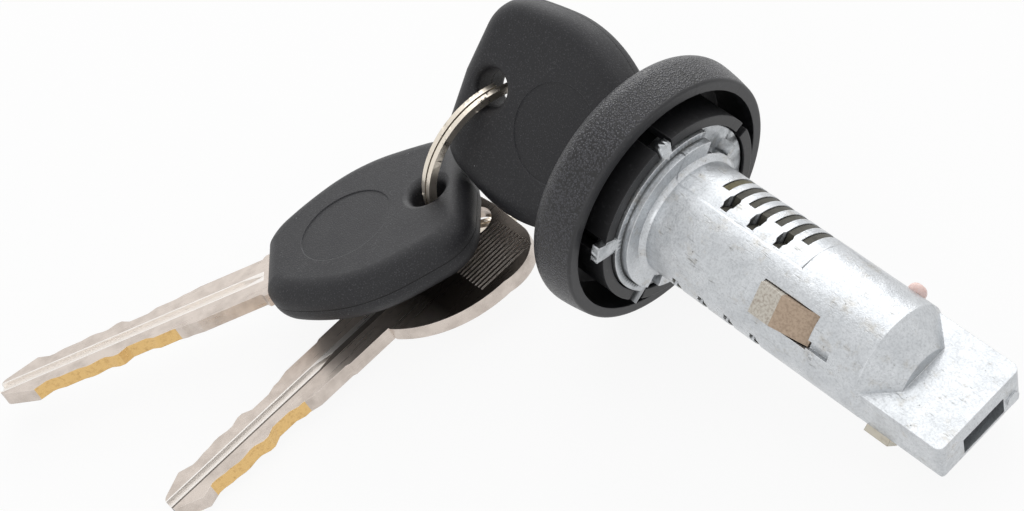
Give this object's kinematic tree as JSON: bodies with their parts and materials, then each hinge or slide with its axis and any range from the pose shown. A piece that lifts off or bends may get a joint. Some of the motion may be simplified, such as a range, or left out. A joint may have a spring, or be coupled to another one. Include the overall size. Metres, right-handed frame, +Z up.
{
  "type": "ignition lock cylinder",
  "caption": "Ignition lock cylinder with a round black bezel, wafers, a flat drive tail, plastic-headed keys, a metal spare key and a split ring.",
  "frame": {"origin": "on the lock's axis at the rear face of the barrel's flange", "axes": "+Z up from the table the lock and its keys lie on; +X roughly from the bezel towards the drive tail, level; +Y to the side away from the loose keys. The lock's own axis dips 11.82 degrees below +X."},
  "size_m": [0.1328, 0.0961, 0.0386],
  "materials": {
    "die_cast_zinc": "satin as cast",
    "collar_zinc": "satin as cast",
    "bezel_plastic": "fine leather grain",
    "cap_steel": "brushed",
    "shutter_steel": "satin",
    "spring_steel": "drawn wire",
    "wafer_brass": "oiled brass",
    "catch_brass": "dull bronze",
    "plunger_nylon": "satin",
    "pad_nylon": "satin",
    "key_nickel_silver": "milled, brass cuts",
    "spare_nickel_silver": "milled, brass cuts",
    "key_head_plastic": "fine grain",
    "ring_nickel": "bright nickel"
  },
  "bodies": {
    "bezel": {"bezel": "bezel_plastic", "collar_ring": "collar_zinc"},
    "barrel": {"barrel": "die_cast_zinc", "face_cap": "cap_steel", "shutter_pin": "shutter_steel", "shutter_spring": "spring_steel", "wafer_springs": "spring_steel", "catch_spring": "spring_steel", "plunger_spring": "spring_steel"},
    "wafers_upper": {"wafer_2": "wafer_brass", "wafer_4": "wafer_brass", "wafer_6": "wafer_brass"},
    "wafers_lower": {"wafer_1": "wafer_brass", "wafer_3": "wafer_brass", "wafer_5": "wafer_brass", "wafer_7": "wafer_brass"},
    "shutter": {"keyway_shutter": "shutter_steel"},
    "catch": {"retaining_catch": "catch_brass"},
    "plunger": {"warning_plunger": "plunger_nylon"},
    "pad": {"tail_pad": "pad_nylon"},
    "key_1": {"key_1_blade": "key_nickel_silver", "key_1_head_front": "key_head_plastic", "key_1_head_back": "key_head_plastic"},
    "ring": {"split_ring": "ring_nickel"},
    "key_2": {"key_2_blade": "key_nickel_silver", "key_2_head_front": "key_head_plastic", "key_2_head_back": "key_head_plastic"},
    "spare": {"spare_key": "spare_nickel_silver"}
  },
  "joints": [
    {"name": "ignition_turn", "type": "hinge", "parent": "bezel", "child": "barrel", "pos_m": [0, 0, 0], "axis": [0.9788, 0, -0.2049], "range_deg": [-30, 78]},
    {"name": "key_1_slide", "type": "slide", "parent": "barrel", "child": "key_1", "axis": [-0.9788, 0, 0.2049], "range_m": [0, 0.046]},
    {"name": "wafers_upper_slide", "type": "slide", "parent": "barrel", "child": "wafers_upper", "axis": [0.1449, 0.7071, 0.6921], "range_m": [0, 0.0004]},
    {"name": "wafers_lower_slide", "type": "slide", "parent": "barrel", "child": "wafers_lower", "axis": [-0.1449, -0.7071, -0.6921], "range_m": [0, 0.0004]},
    {"name": "shutter_swing", "type": "hinge", "parent": "barrel", "child": "shutter", "pos_m": [-0.00553, -0.00166, 0.00286], "axis": [-0.1449, -0.7071, -0.6921], "range_deg": [0, 10], "stiffness_Nm_per_rad": 0.0003, "springref_deg": -22.92},
    {"name": "catch_press", "type": "slide", "parent": "barrel", "child": "catch", "axis": [-0.1449, 0.7071, -0.6921], "range_m": [0, 0.001], "stiffness_N_per_m": 300, "springref_m": -0.002, "deforming": ["catch_spring"]},
    {"name": "plunger_press", "type": "slide", "parent": "barrel", "child": "plunger", "axis": [-0.0633, -0.9511, -0.3025], "range_m": [0, 0.0013], "stiffness_N_per_m": 100, "springref_m": -0.001, "deforming": ["plunger_spring"]},
    {"name": "pad_press", "type": "slide", "parent": "barrel", "child": "pad", "axis": [0.1261, 0.788, 0.6026], "range_m": [0, 0.00095], "stiffness_N_per_m": 200, "springref_m": -0.0005},
    {"name": "ring_swing", "type": "hinge", "parent": "key_1", "child": "ring", "pos_m": [-0.03458, 0.00014, 0.00766], "axis": [0.0675, 0.9157, -0.3962], "range_deg": [0, 30]},
    {"name": "key_2_fan", "type": "hinge", "parent": "ring", "child": "key_2", "pos_m": [-0.03832, -0.017, -0.00504], "axis": [0.1063, -0.1182, 0.9873], "range_deg": [-12, 0]},
    {"name": "spare_key_fan", "type": "hinge", "parent": "ring", "child": "spare", "pos_m": [-0.03877, -0.01287, -0.01297], "axis": [-0.0126, -0.7451, 0.6669], "range_deg": [0, 15]}
  ]
}
